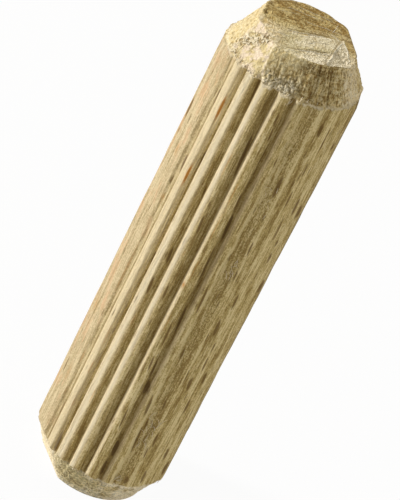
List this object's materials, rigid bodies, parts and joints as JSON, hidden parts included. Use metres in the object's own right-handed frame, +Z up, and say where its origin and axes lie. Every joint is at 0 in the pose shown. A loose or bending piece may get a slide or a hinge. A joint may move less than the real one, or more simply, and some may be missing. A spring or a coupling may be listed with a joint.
{
  "type": "dowel pin",
  "caption": "Straight fluted wooden dowel pin standing on end, with pressed lengthwise flutes, a neat chamfer below and a rough faceted chamfer above.",
  "frame": {"origin": "middle of the lower end face, which it stands on", "axes": "+Z up along the pin's axis, -Y toward the front"},
  "size_m": [0.008, 0.008, 0.0305],
  "materials": {
    "beech": "bare, unfinished"
  },
  "bodies": {
    "root": {"dowel_pin": "beech"}
  },
  "joints": []
}
